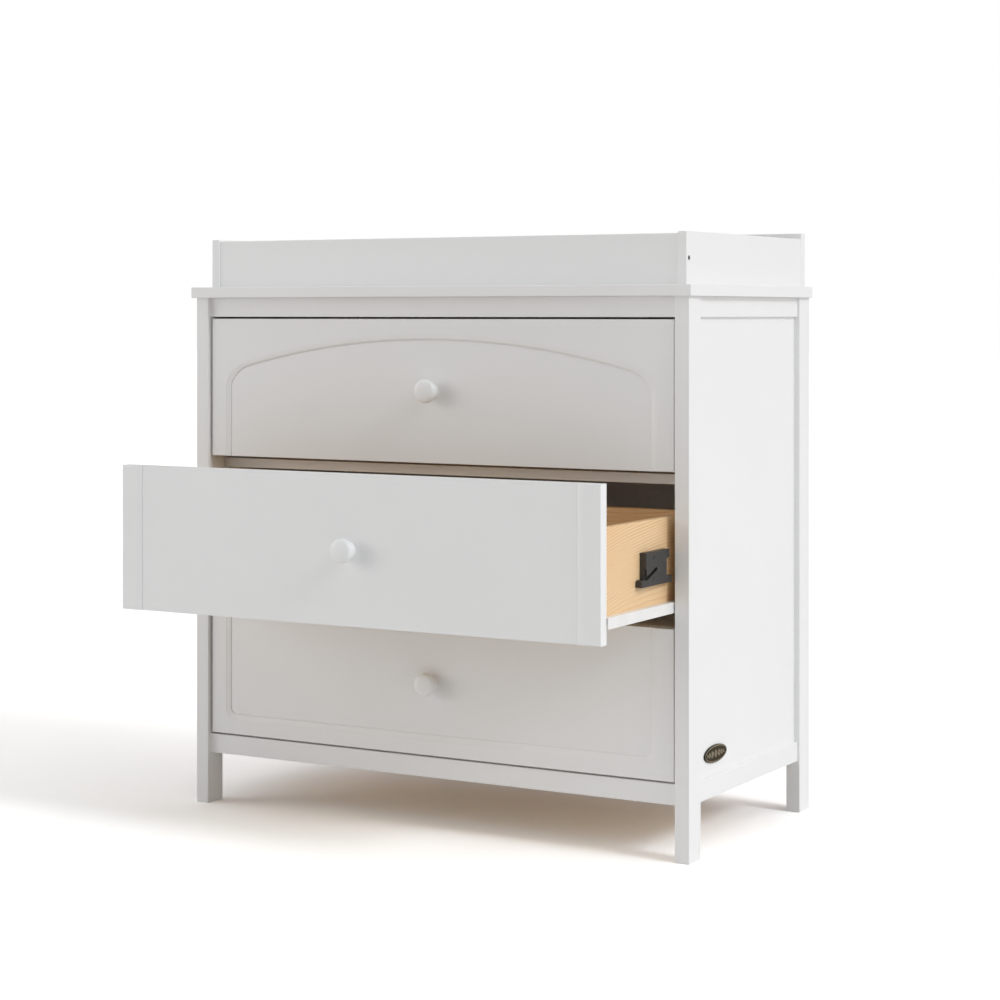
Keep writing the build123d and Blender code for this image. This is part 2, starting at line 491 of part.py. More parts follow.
    # drawer members of the runners
    with BuildPart() as drawer_runners:
        for sx in (-1, 1):
            block(sx * BOX_SIDE_OUT, sx * (BOX_SIDE_OUT + STEEL_T), MEMBER_Y0 + shift, 371.0 + shift,
                  zb + MEMBER_LOW, zb + MEMBER_TOP)
            block(sx * (BOX_SIDE_OUT - 10.5), sx * (BOX_SIDE_OUT + STEEL_T), MEMBER_Y0 + shift, MEMBER_Y1 + shift,
                  zb + MEMBER_LOW, zb + BOX_Z0)
            block(sx * BOX_SIDE_OUT, sx * LIP_X1, MEMBER_Y0 + shift, MEMBER_Y1 + shift,
                  zb + MEMBER_TOP - STEEL_T, zb + MEMBER_TOP)
            block(sx * LIP_X0, sx * LIP_X1, MEMBER_Y0 + shift, MEMBER_Y1 + shift, zb + MEMBER_LOW, zb + MEMBER_TOP)
        fillet(drawer_runners.edges().filter_by(Axis.Y).filter_by(
            lambda e: abs(abs(e.center().X) - LIP_X1) < 0.01 and abs(e.center().Z - zb - MEMBER_TOP) < 0.01), 0.8)
        for sx in (-1, 1):
            # screw holes up into the drawer side and small punched dimples
            for y in (60.0, 320.0):
                rod(sx * (BOX_SIDE_OUT - BOX_T / 2), y + shift, zb + MEMBER_LOW, (0, 0, 1), 1.75, STEEL_T, Mode.SUBTRACT)
            for y in (67.7, 123.7, 250.0):
                rod(sx * LIP_X1, y + shift, zb + MEMBER_TOP - 4.0, (-sx, 0, 0), 1.2, 0.5, Mode.SUBTRACT)
            # rear axle: shoulder, journal and riveted head
            rod(sx * BOX_SIDE_OUT, REAR_ROLL_Y + shift, zb + REAR_ROLL_Z, (sx, 0, 0), AXLE_R, 9.2)
            rod(sx * BOX_SIDE_OUT, REAR_ROLL_Y + shift, zb + REAR_ROLL_Z, (sx, 0, 0), 3.2, ROLL_X0 - 0.3 - BOX_SIDE_OUT)
            rod(sx * (ROLL_X0 + ROLLER_W + 0.3), REAR_ROLL_Y + shift, zb + REAR_ROLL_Z, (sx, 0, 0), 3.2, 0.7)
    save(drawer_runners, f"{name}_drawer_runners")

    # interlock cam block on the right side
    with BuildPart() as cam_block:
        with BuildSketch(Plane(origin=(BOX_SIDE_OUT, fy(shift), zb), x_dir=(0, 1, 0), z_dir=(1, 0, 0))):
            with BuildLine():
                Polyline((127.1, 67.6), (129.6, 67.0), (223.9, 67.0), (223.9, 77.0), (207.5, 77.4), (207.5, 101.4),
                         (215.7, 103.4), (215.7, 115.0), (140.6, 115.0), (140.6, 77.4), (129.6, 77.4), (127.1, 75.0),
                         close=True)
            make_face()
        extrude(amount=10.4)
        chamfer(cam_block.faces().sort_by(Axis.X)[-1].edges(), 0.6)
        # slanted groove, open at the front edge
        with BuildSketch(Plane(origin=(BOX_SIDE_OUT + 10.4, fy(shift), zb), x_dir=(0, 1, 0), z_dir=(1, 0, 0))):
            with BuildLine():
                Polyline((138.0, 77.4), (144.5, 76.4), (176.4, 88.8), (174.2, 93.4), (143.0, 82.0), (138.0, 82.0), close=True)
            make_face()
        extrude(amount=-5.0, mode=Mode.SUBTRACT)
        # shallow relief along the front edge
        block(BOX_SIDE_OUT + 7.4, BOX_SIDE_OUT + 10.4, 140.6 + shift, 143.0 + shift, zb + 77.4, zb + 92.0, Mode.SUBTRACT)
        for z in (77.3, 108.3):
            rod(BOX_SIDE_OUT + 10.4, 163.2 + shift, zb + z, (-1, 0, 0), 3.2, 2.6, Mode.SUBTRACT)
            rod(BOX_SIDE_OUT + 10.4, 163.2 + shift, zb + z, (-1, 0, 0), 1.5, 10.4, Mode.SUBTRACT)
    save(cam_block, f"{name}_interlock_cam")

    # screws and dowels of this drawer
    with BuildPart() as drawer_fixings:
        screw(0, FRONT_BACK + shift, zm, (0, -1, 0), 2.0, FRONT_T - FIELD_DEPTH + 15.0, 4.5, 2.4, 1.6)
        for sx in (-1, 1):
            for dz in (58.0, 132.0):
                rod(sx * (BOX_SIDE_OUT - BOX_T / 2), FRONT_BACK - 9.0 + shift, zb + dz, (0, 1, 0), 3.0, 28.0)
                screw(sx * BOX_SIDE_OUT, BOX_BACK - BOX_T / 2 + shift, zb + dz, (-sx, 0, 0), 1.75, 36.0, 3.6, 2.2, sunk=True)
            for y in (60.0, 320.0):
                screw(sx * (BOX_SIDE_OUT - BOX_T / 2), y + shift, zb + MEMBER_LOW, (0, 0, 1), 1.75, STEEL_T + 11.0, 3.5, 1.4)
        for z in (77.3, 108.3):
            screw(BOX_SIDE_OUT + 7.8, 163.2 + shift, zb + z, (-1, 0, 0), 1.5, 16.8, 3.2, 1.8, 1.2)
    save(drawer_fixings, f"{name}_drawer_fixings")

    # nylon rollers: a pair at the front of the cabinet members, a pair on the drawer members
    with BuildPart() as front_rollers:
        for sx in (-1, 1):
            rod(sx * ROLL_X0, FRONT_ROLL_Y, zb + FRONT_ROLL_Z, (sx, 0, 0), ROLLER_R, ROLLER_W)
            rod(sx * ROLL_X0, FRONT_ROLL_Y, zb + FRONT_ROLL_Z, (sx, 0, 0), BORE_R, ROLLER_W, Mode.SUBTRACT)
    save(front_rollers, f"{name}_front_rollers")
    with BuildPart() as rear_rollers:
        for sx in (-1, 1):
            rod(sx * ROLL_X0, REAR_ROLL_Y + shift, zb + REAR_ROLL_Z, (sx, 0, 0), ROLLER_R, ROLLER_W)
            rod(sx * ROLL_X0, REAR_ROLL_Y + shift, zb + REAR_ROLL_Z, (sx, 0, 0), BORE_R, ROLLER_W, Mode.SUBTRACT)
    save(rear_rollers, f"{name}_rear_rollers")

print("origin depth", ORIGIN_Y, "nodes", len(os.listdir("parts")))
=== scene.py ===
import bpy, bmesh, json, math
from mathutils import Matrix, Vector


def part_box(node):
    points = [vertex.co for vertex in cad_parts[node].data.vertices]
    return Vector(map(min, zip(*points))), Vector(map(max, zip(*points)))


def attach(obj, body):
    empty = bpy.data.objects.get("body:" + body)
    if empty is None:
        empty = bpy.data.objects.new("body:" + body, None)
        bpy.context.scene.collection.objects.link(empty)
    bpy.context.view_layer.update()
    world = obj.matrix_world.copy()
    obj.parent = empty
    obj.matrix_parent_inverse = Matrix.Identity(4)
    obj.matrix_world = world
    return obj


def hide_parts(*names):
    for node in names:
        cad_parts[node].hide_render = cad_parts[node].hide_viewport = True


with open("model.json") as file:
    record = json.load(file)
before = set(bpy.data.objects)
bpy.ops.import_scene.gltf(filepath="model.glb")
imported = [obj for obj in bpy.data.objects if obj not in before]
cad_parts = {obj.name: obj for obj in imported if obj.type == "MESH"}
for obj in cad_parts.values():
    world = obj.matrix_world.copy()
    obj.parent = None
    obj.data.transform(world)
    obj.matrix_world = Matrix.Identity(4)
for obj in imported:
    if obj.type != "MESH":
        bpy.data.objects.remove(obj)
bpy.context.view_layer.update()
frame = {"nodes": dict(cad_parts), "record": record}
nodes = frame["nodes"]
scene = bpy.context.scene
scene.view_settings.view_transform = "Standard"
scene.view_settings.look = "None"

# ---------------------------------------------------------------- studio
KEY = (0.79, 0.845, 0.905)
KEY_DIR = (math.radians(6.0), math.radians(36.0))      # degrees in front of +X, elevation
KEY_SIZE = math.radians(15.0)
W_BACK = (0.37, 0.31, 0.305)
W_FRONT = (0.19, 0.17, 0.165)
W_TOP = (0.14, 0.20, 0.205)
W_LEFT = (4.14, 4.11, 4.08)
W_RIGHT = (1.08, 1.10, 1.11)
W_BEHIND = (0.50, 0.45, 0.40)
FLOOR = (0.86, 0.855, 0.85)
FLOOR_GAIN = 1.7

cam_data = bpy.data.cameras.new("camera")
cam = bpy.data.objects.new("camera", cam_data)
scene.collection.objects.link(cam)
cam.location = (1.88357, -3.15962, 0.78914)
cam.rotation_euler = (math.radians(90.0), 0.0, math.radians(29.937))
cam_data.sensor_width = 36.0
cam_data.lens = 84.51
cam_data.shift_y = -0.18573
cam_data.clip_end = 200.0
scene.camera = cam


def direction(azimuth, elevation):
    """Towards a light: azimuth turns from +X to -Y."""
    return Vector((math.cos(azimuth) * math.cos(elevation), -math.sin(azimuth) * math.cos(elevation), math.sin(elevation)))


key_data = bpy.data.lights.new("key", "SUN")
key_data.energy = 1.0
key_data.color = (1.0, 1.0, 1.0)
top = max(KEY)
key_data.energy = top
key_data.color = tuple(c / top if top > 0 else 1.0 for c in KEY)
key_data.angle = KEY_SIZE
key = bpy.data.objects.new("key", key_data)
scene.collection.objects.link(key)
key.rotation_euler = direction(*KEY_DIR).to_track_quat("Z", "Y").to_euler()


# ---------------------------------------------------------------- node helpers
class Tree:
    """A few short calls for wiring nodes."""

    def __init__(self, tree):
        self.t = tree
        tree.nodes.clear()

    def node(self, kind, **settings):
        n = self.t.nodes.new(kind)
        for k, v in settings.items():
            setattr(n, k, v)
        return n

    def put(self, socket, value):
        if isinstance(value, bpy.types.NodeSocket):
            self.t.links.new(value, socket)
        elif value is not None:
            if hasattr(socket.default_value, "__len__") and not hasattr(value, "__len__"):
                value = [value] * len(socket.default_value)
            if hasattr(value, "__len__") and len(socket.default_value) == 4 and len(value) == 3:
                value = (*value, 1.0)
            socket.default_value = value

    def math(self, op, a, b=None, c=None, clamp=False):
        n = self.node("ShaderNodeMath", operation=op, use_clamp=clamp)
        for s, v in zip(n.inputs, (a, b, c)):
            if v is not None:
                self.put(s, v)
        return n.outputs[0]

    def vmath(self, op, a, b=None, scale=None):
        n = self.node("ShaderNodeVectorMath", operation=op)
        self.put(n.inputs[0], a)
        if b is not None:
            self.put(n.inputs[1], b)
        if scale is not None:
            self.put(n.inputs["Scale"], scale)
        return n.outputs["Value"] if op in ("DOT_PRODUCT", "LENGTH", "DISTANCE") else n.outputs["Vector"]

    def map(self, value, a, b, c=0.0, d=1.0, kind="LINEAR"):
        n = self.node("ShaderNodeMapRange", interpolation_type=kind)
        for s, v in zip(n.inputs[:5], (value, a, b, c, d)):
            self.put(s, v)
        return n.outputs[0]

    def mix(self, factor, a, b, blend="MIX"):
        n = self.node("ShaderNodeMix", data_type="RGBA", blend_type=blend)
        self.put(n.inputs["Factor"], factor)
        self.put(n.inputs[6], a)
        self.put(n.inputs[7], b)
        return n.outputs[2]

    def noise(self, vector, scale, detail=2.0, rough=0.5, distortion=0.0):
        n = self.node("ShaderNodeTexNoise")
        self.put(n.inputs["Vector"], vector)
        self.put(n.inputs["Scale"], scale)
        self.put(n.inputs["Detail"], detail)
        self.put(n.inputs["Roughness"], rough)
        self.put(n.inputs["Distortion"], distortion)
        return n.outputs["Fac"]

    def ramp(self, value, stops):
        n = self.node("ShaderNodeValToRGB")
        self.put(n.inputs["Fac"], value)
        el = n.color_ramp.elements
        while len(el) > 1:
            el.remove(el[-1])
        el[0].position, el[0].color = stops[0][0], (*stops[0][1], 1.0)
        for p, c in stops[1:]:
            e = el.new(p)
            e.color = (*c, 1.0)
        return n.outputs["Color"]

    def xyz(self, vector):
        n = self.node("ShaderNodeSeparateXYZ")
        self.put(n.inputs[0], vector)
        return n.outputs[0], n.outputs[1], n.outputs[2]

    def vec(self, x, y, z):
        n = self.node("ShaderNodeCombineXYZ")
        for s, v in zip(n.inputs, (x, y, z)):
            self.put(s, v)
        return n.outputs[0]

    def coords(self):
        return self.node("ShaderNodeTexCoord").outputs["Object"]

    def bump(self, height, distance, strength=1.0, normal=None):
        n = self.node("ShaderNodeBump")
        self.put(n.inputs["Strength"], strength)
        self.put(n.inputs["Distance"], distance)
        self.put(n.inputs["Height"], height)
        if normal is not None:
            self.put(n.inputs["Normal"], normal)
        return n.outputs["Normal"]

    def surface(self, color, roughness, normal=None, **fixed):
        n = self.node("ShaderNodeBsdfPrincipled")
        self.put(n.inputs["Base Color"], color)
        self.put(n.inputs["Roughness"], roughness)
        if normal is not None:
            self.put(n.inputs["Normal"], normal)
        for k, v in fixed.items():
            self.put(n.inputs[k.replace("_", " ")], v)
        out = self.node("ShaderNodeOutputMaterial")
        self.t.links.new(n.outputs[0], out.inputs["Surface"])
        return n


def material(name, build):
    m = bpy.data.materials.new(name)
    m.use_nodes = True
    build(Tree(m.node_tree))
    return m


# ---------------------------------------------------------------- world
world = bpy.data.worlds.new("studio")
scene.world = world
world.use_nodes = True
w = Tree(world.node_tree)
d = w.node("ShaderNodeTexCoord").outputs["Generated"]
dx, dy, dz = w.xyz(d)
back = w.map(dy, -0.25, 0.45, kind="SMOOTHSTEP")
front = w.math("SUBTRACT", 1.0, back)
top_lobe = w.map(dz, 0.35, 0.95, kind="SMOOTHSTEP")
left_dir = Vector((-math.sin(math.radians(63)), -math.cos(math.radians(63)), math.tan(math.radians(9)))).normalized()
left = w.math("POWER", w.math("MAXIMUM", w.vmath("DOT_PRODUCT", d, tuple(left_dir)), 0.0), 14.0)
right = w.math("POWER", w.math("MAXIMUM", w.vmath("DOT_PRODUCT", d, tuple(direction(*KEY_DIR))), 0.0), 5.0)
behind = w.math("POWER", w.math("MAXIMUM", w.vmath("DOT_PRODUCT", d, tuple(direction(math.radians(-35), math.radians(18)))), 0.0), 6.0)
total = None
for value, colour in ((back, W_BACK), (front, W_FRONT), (top_lobe, W_TOP), (left, W_LEFT), (right, W_RIGHT), (behind, W_BEHIND)):
    part = w.vmath("SCALE", tuple(colour), scale=value)
    total = part if total is None else w.vmath("ADD", total, part)
seen = w.node("ShaderNodeLightPath").outputs["Is Camera Ray"]
bg_light = w.node("ShaderNodeBackground")
w.put(bg_light.inputs["Color"], total)
bg_seen = w.node("ShaderNodeBackground")
w.put(bg_seen.inputs["Color"], (1.0, 1.0, 1.0))
pick = w.node("ShaderNodeMixShader")
w.put(pick.inputs[0], seen)
w.t.links.new(bg_light.outputs[0], pick.inputs[1])
w.t.links.new(bg_seen.outputs[0], pick.inputs[2])
out = w.node("ShaderNodeOutputWorld")
w.t.links.new(pick.outputs[0], out.inputs["Surface"])


# ---------------------------------------------------------------- materials
def paint(t, base=(0.885, 0.884, 0.881), rough=0.38, peel=1.0):
    """Sprayed satin paint: a faint drift in tone, fine orange peel, and the board's own slight waviness."""
    p = t.coords()
    drift = t.noise(p, 5.0, 3.0, 0.5)
    speck = t.noise(p, 210.0, 2.0, 0.6)
    colour = t.mix(t.map(drift, 0.3, 0.7), tuple(c * 0.985 for c in base), base)
    colour = t.mix(t.map(speck, 0.68, 0.8, 0.0, 0.10), colour, tuple(c * 0.955 for c in base))
    r = t.map(t.noise(p, 26.0, 3.0, 0.55), 0.3, 0.7, rough - 0.035, rough + 0.045)
    fine = t.noise(p, 950.0, 2.0, 0.5)
    broad = t.noise(p, 60.0, 2.0, 0.5)
    height = t.math("ADD", t.math("MULTIPLY", fine, 0.35), t.math("MULTIPLY", broad, 1.0))
    t.surface(colour, r, t.bump(height, 0.00006 * peel, 0.55), Specular_IOR_Level=0.5)


def hardboard(t):
    """White coated board, with the faint fibre print that shows through the coat."""
    p = t.coords()
    x, y, z = t.xyz(p)
    fibre = t.noise(t.vec(t.math("MULTIPLY", x, 1.0), y, t.math("MULTIPLY", z, 0.25)), 380.0, 3.0, 0.6)
    colour = t.mix(t.map(fibre, 0.35, 0.7), (0.80, 0.795, 0.785), (0.86, 0.857, 0.85))
    t.surface(colour, t.map(fibre, 0.3, 0.7, 0.42, 0.56), t.bump(fibre, 0.00008, 0.5))


def softwood(t, pith_z, pith_x, rise, spacing, light, mid, dark, red, along="y", wander=0.010, rough=0.42, start=0.0, bend=0.0, calm=-1.0):
    """Flat-sawn softwood: rings about a pith line that climbs along the board, with dark latewood edges, fine fibres and a satin lacquer."""
    p = t.coords()
    x, y, z = t.xyz(p)
    if along == "x":
        x, y = y, x
    slow = t.noise(t.vec(t.math("MULTIPLY", x, 1.2), t.math("MULTIPLY", y, 0.6), t.math("MULTIPLY", z, 1.2)), 9.0, 1.0, 0.4)
    ripple = t.noise(t.vec(t.math("MULTIPLY", x, 2.0), t.math("MULTIPLY", y, 0.4), t.math("MULTIPLY", z, 2.0)), 22.0, 2.0, 0.5)
    run = t.math("SUBTRACT", y, start)
    centre = t.math("ADD", pith_z, t.math("MULTIPLY", run, t.math("ADD", rise, t.math("MULTIPLY", run, bend))))
    across = t.math("SUBTRACT", z, centre)
    deep = t.math("SUBTRACT", t.math("MULTIPLY", x, 1.0), pith_x)
    r = t.math("SQRT", t.math("ADD", t.math("MULTIPLY", across, across), t.math("MULTIPLY", deep, deep)))
    r = t.math("ADD", r, t.math("MULTIPLY", t.math("SUBTRACT", slow, 0.5), wander * 2.0))
    r = t.math("ADD", r, t.math("MULTIPLY", t.math("SUBTRACT", ripple, 0.5), 0.0026))
    phase = t.math("DIVIDE", r, spacing)
    ring = t.math("FRACT", phase)
    year = t.math("FLOOR", phase)
    vary = t.node("ShaderNodeTexWhiteNoise", noise_dimensions="1D")
    t.put(vary.inputs["W"], year)
    ring = t.math("POWER", ring, t.map(vary.outputs["Value"], 0.0, 1.0, 1.3, 2.6))
    grain = t.ramp(ring, [(0.0, light), (0.35, light), (0.70, mid), (0.90, dark), (0.97, dark), (1.0, light)])
    soft = t.mix(0.5, light, mid)
    fade = t.map(t.noise(t.vec(t.math("MULTIPLY", x, 1.0), t.math("MULTIPLY", y, 0.5), t.math("MULTIPLY", z, 1.0)), 15.0, 2.0, 0.5), 0.40, 0.60, 0.05, 0.82, kind="SMOOTHSTEP")
    fade = t.math("MAXIMUM", fade, t.map(z, calm, calm + 0.05, 0.85, 0.0))
    grain = t.mix(fade, grain, soft)
    fibre = t.noise(t.vec(t.math("MULTIPLY", x, 1.0), t.math("MULTIPLY", y, 0.022), t.math("MULTIPLY", z, 1.0)), 1500.0, 3.0, 0.6)
    grain = t.mix(t.map(fibre, 0.35, 0.75, 0.0, 0.20), grain, tuple(c * 0.72 for c in mid))
    warm = t.map(slow, 0.45, 0.72, 0.0, 0.55, kind="SMOOTHSTEP")
    grain = t.mix(warm, grain, t.mix(1.0, grain, red, "MULTIPLY"))
    height = t.math("ADD", t.math("MULTIPLY", ring, -0.5), t.math("MULTIPLY", fibre, 0.6))
    t.surface(grain, t.map(fibre, 0.3, 0.7, rough - 0.05, rough + 0.10), t.bump(height, 0.00012, 0.6),
              Coat_Weight=0.12, Coat_Roughness=0.3)


PINE = dict(light=(0.885, 0.64, 0.375), mid=(0.81, 0.53, 0.275), dark=(0.64, 0.37, 0.165), red=(1.0, 0.89, 0.80))


def plywood(t):
    softwood(t, pith_z=-0.10, pith_x=0.05, rise=0.0, spacing=0.011, light=(0.77, 0.57, 0.34), mid=(0.73, 0.52, 0.29),
             dark=(0.66, 0.44, 0.23), red=(1.0, 0.95, 0.9), along="x", wander=0.012, rough=0.6)


def beech(t):
    p = t.coords()
    fleck = t.noise(p, 420.0, 3.0, 0.6)
    t.surface(t.mix(t.map(fleck, 0.35, 0.7), (0.56, 0.38, 0.22), (0.66, 0.47, 0.29)), 0.6, t.bump(fleck, 0.0001, 0.5))


def coated_steel(t):
    """Epoxy powder coat on rolled sheet."""
    p = t.coords()
    grain = t.noise(p, 1400.0, 2.0, 0.5)
    drift = t.noise(p, 30.0, 2.0, 0.5)
    colour = t.mix(t.map(drift, 0.3, 0.7), (0.83, 0.82, 0.805), (0.88, 0.872, 0.86))
    t.surface(colour, t.map(grain, 0.3, 0.7, 0.26, 0.36), t.bump(grain, 0.00004, 0.6))


def nylon(t):
    p = t.coords()
    grain = t.noise(p, 700.0, 2.0, 0.5)
    t.surface(t.mix(t.map(grain, 0.3, 0.7), (0.80, 0.79, 0.76), (0.86, 0.85, 0.82)), t.map(grain, 0.3, 0.7, 0.45, 0.56),
              t.bump(grain, 0.00005, 0.5))


def moulded_black(t):
    """Glass-filled black moulding with a spark-eroded surface and a faint drift in tone."""
    p = t.coords()
    pit = t.noise(p, 2600.0, 2.0, 0.6)
    drift = t.noise(p, 90.0, 3.0, 0.6)
    colour = t.mix(t.map(drift, 0.35, 0.75), (0.026, 0.025, 0.024), (0.040, 0.038, 0.036))
    t.surface(colour, t.map(drift, 0.3, 0.7, 0.40, 0.55), t.bump(pit, 0.00009, 0.7))


def plated(t):
    """Zinc plate with a slight yellow pass and turning marks."""
    p = t.coords()
    marks = t.noise(p, 900.0, 3.0, 0.6)
    tone = t.noise(p, 120.0, 2.0, 0.5)
    colour = t.mix(t.map(tone, 0.35, 0.7), (0.17, 0.16, 0.145), (0.30, 0.28, 0.25))
    t.surface(colour, t.map(marks, 0.3, 0.7, 0.28, 0.48), t.bump(marks, 0.00008, 0.6), Metallic=1.0)


def old_brass(t):
    """Cast brass, blackened in the ground and rubbed brighter on the raised parts; the outer edge is darkest as painted
    shade on the shaded edge thickness.
    """
    p = t.coords()
    x, y, z = t.xyz(p)
    lo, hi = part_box("oval_badge")
    low, cy, cz, a, b = lo.x, (lo.y + hi.y) / 2, (lo.z + hi.z) / 2, (hi.y - lo.y) / 2, (hi.z - lo.z) / 2
    u = t.math("DIVIDE", t.math("SUBTRACT", y, cy), a)
    v = t.math("DIVIDE", t.math("SUBTRACT", z, cz), b)
    e = t.math("SQRT", t.math("ADD", t.math("MULTIPLY", u, u), t.math("MULTIPLY", v, v)))
    # 1 inside the oval, falling to 0 over the outer edge: the band that gets painted shade and is kept from the rubbed
    # brightening
    away_from_shaded_edge = t.map(e, 0.935, 0.975, 1.0, 0.0, kind="SMOOTHSTEP")
    raised = t.math("MULTIPLY", t.map(x, low + 0.00155, low + 0.0021), away_from_shaded_edge)
    patch = t.noise(p, 420.0, 3.0, 0.65)
    wear = t.math("MULTIPLY", raised, t.map(patch, 0.30, 0.62, 0.45, 1.0))
    # the darkest tone at the outer edge is painted shade; the ground's dark tone is the brass's own blackening
    colour = t.mix(wear, t.mix(away_from_shaded_edge, (0.028, 0.027, 0.022), (0.062, 0.047, 0.024)), (0.34, 0.285, 0.19))
    pits = t.noise(p, 1700.0, 3.0, 0.6)
    t.surface(colour, t.math("SUBTRACT", 0.60, t.math("MULTIPLY", wear, 0.22)), t.bump(pits, 0.00012, 0.7), Metallic=0.8)


mats = {
    "white_paint": material("white_paint_m", paint),
    "white_hardboard": material("white_hardboard_m", hardboard),
    "plywood": material("plywood_m", plywood),
    "beech": material("beech_m", beech),
    "white_steel": material("white_steel_m", coated_steel),
    "nylon": material("nylon_m", nylon),
    "black_plastic": material("black_plastic_m", moulded_black),
    "screw_steel": material("screw_steel_m", plated),
    "antique_brass": material("antique_brass_m", old_brass),
}
slots = {s["node"]: s["material_slot"] for s in frame["record"]["subparts"]}
DRAWERS = ("bottom", "middle", "top")
for name, o in nodes.items():
    slot = slots[name]
    if slot == "pine":
        lo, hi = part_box(name)
        if name.endswith("_back"):
            m = material(name + "_pine", lambda t: softwood(t, pith_z=lo.z + 0.05, pith_x=hi.y + 0.03, rise=0.02, spacing=0.0052, along="x", **PINE))
        else:
            out_x = hi.x if hi.x > 0 else lo.x
            s = 1 if hi.x > 0 else -1
            m = material(name + "_pine", lambda t: softwood(
                t, pith_z=lo.z - 0.020, pith_x=out_x - s * 0.030, rise=0.21, bend=-0.42, start=lo.y, spacing=0.0046, calm=lo.z, **PINE))
    else:
        m = mats[slot]
    if not o.data.materials:
        o.data.materials.append(m)
    for i in range(len(o.data.materials)):
        o.data.materials[i] = m

# ---------------------------------------------------------------- drawer fronts
FIELD_HALF, BAND, DEPTH = 0.375, 0.010, 0.0025
# the moulded band, in mm in from its outer line and down from the face: a lip, a slope, a narrow quirk, the field
MOULD = [(0.10, 0.06), (0.5, 0.42), (1.0, 0.55), (6.0, 1.12), (8.3, 1.90), (8.5, 2.2), (8.7, 3.5), (9.7, 3.6), (9.95, 2.7), (10.15, 2.5)]
OVER_ARCH = (0.01, 0.02, 0.05, 0.62, 1.80, 2.2, 3.5, 3.6, 2.7, 2.5)      # the same steps over the arch, where the lip eases off
ARCH_R, CORNER_R, FOOT_R = 1.370, 0.052, 0.009
ARCH_Z = 0.7487 - ARCH_R
CORNER_X = FIELD_HALF - CORNER_R * math.cos(math.radians(24.0))      # the upright meets the corner arc at an angle
CORNER_Z = ARCH_Z + math.sqrt((ARCH_R - CORNER_R) ** 2 - CORNER_X ** 2)
CORNER_A = math.atan2(CORNER_Z - ARCH_Z, CORNER_X)
FOOT_Z = 0.1477


def arc(cx, cz, r, a0, a1, n):
    return [(cx + r * math.cos(a0 + (a1 - a0) * i / n), cz + r * math.sin(a0 + (a1 - a0) * i / n)) for i in range(n + 1)]


def field_outline(kind, w, z0, z1):
    """The field's outline, w outside its inner line, run past the front's open edges."""
    low, high, h = z0 - 0.02, z1 + 0.02, FIELD_HALF + w
    if kind == "top":
        kink = math.acos((h - CORNER_X) / (CORNER_R + w))
        pts = [(h, low)] + arc(CORNER_X, CORNER_Z, CORNER_R + w, kink, CORNER_A, 14)
        pts += arc(0.0, ARCH_Z, ARCH_R + w, CORNER_A, math.pi - CORNER_A, 96)[1:-1]
        pts += arc(-CORNER_X, CORNER_Z, CORNER_R + w, math.pi - CORNER_A, math.pi - kink, 14) + [(-h, low)]
    elif kind == "middle":
        pts = [(h, low), (h, high), (-h, high), (-h, low)]
    else:
        cx, cz = FIELD_HALF - FOOT_R, FOOT_Z + FOOT_R
        pts = [(-h, high)] + arc(-cx, cz, FOOT_R + w, math.pi, 1.5 * math.pi, 12)
        pts += arc(cx, cz, FOOT_R + w, 1.5 * math.pi, 2 * math.pi, 12) + [(h, high)]
    return pts


def sunk(step, x, z):
    """Depth of the moulding in mm: its lip eases off over the arch, and the quirk runs out towards the right-hand upright."""
    if step < 0:
        return -5.0
    over = min(max((z - 0.682) / 0.028, 0.0), 1.0)
    down = MOULD[step][1] * (1 - over) + OVER_ARCH[step] * over
    f = min(max((0.372 - x) / 0.05, 0.0), 1.0)
    return down if down <= 2.5 else 2.5 + (down - 2.5) * f


def new_object(name, bm, smooth_angle=None):
    mesh = bpy.data.meshes.new(name)
    bmesh.ops.recalc_face_normals(bm, faces=bm.faces)
    bm.to_mesh(mesh)
    bm.free()
    o = bpy.data.objects.new(name, mesh)
    scene.collection.objects.link(o)
    if smooth_angle is not None:
        mesh.polygons.foreach_set("use_smooth", [True] * len(mesh.polygons))
        mesh.set_sharp_from_angle(angle=math.radians(smooth_angle))
    return o


def apply(o):
    """Put the evaluated mesh in place of the one with modifiers."""
    bpy.context.view_layer.update()
    dg = bpy.context.evaluated_depsgraph_get()
    mesh = bpy.data.meshes.new_from_object(o.evaluated_get(dg))
    o.modifiers.clear()
    o.data = mesh
    return o


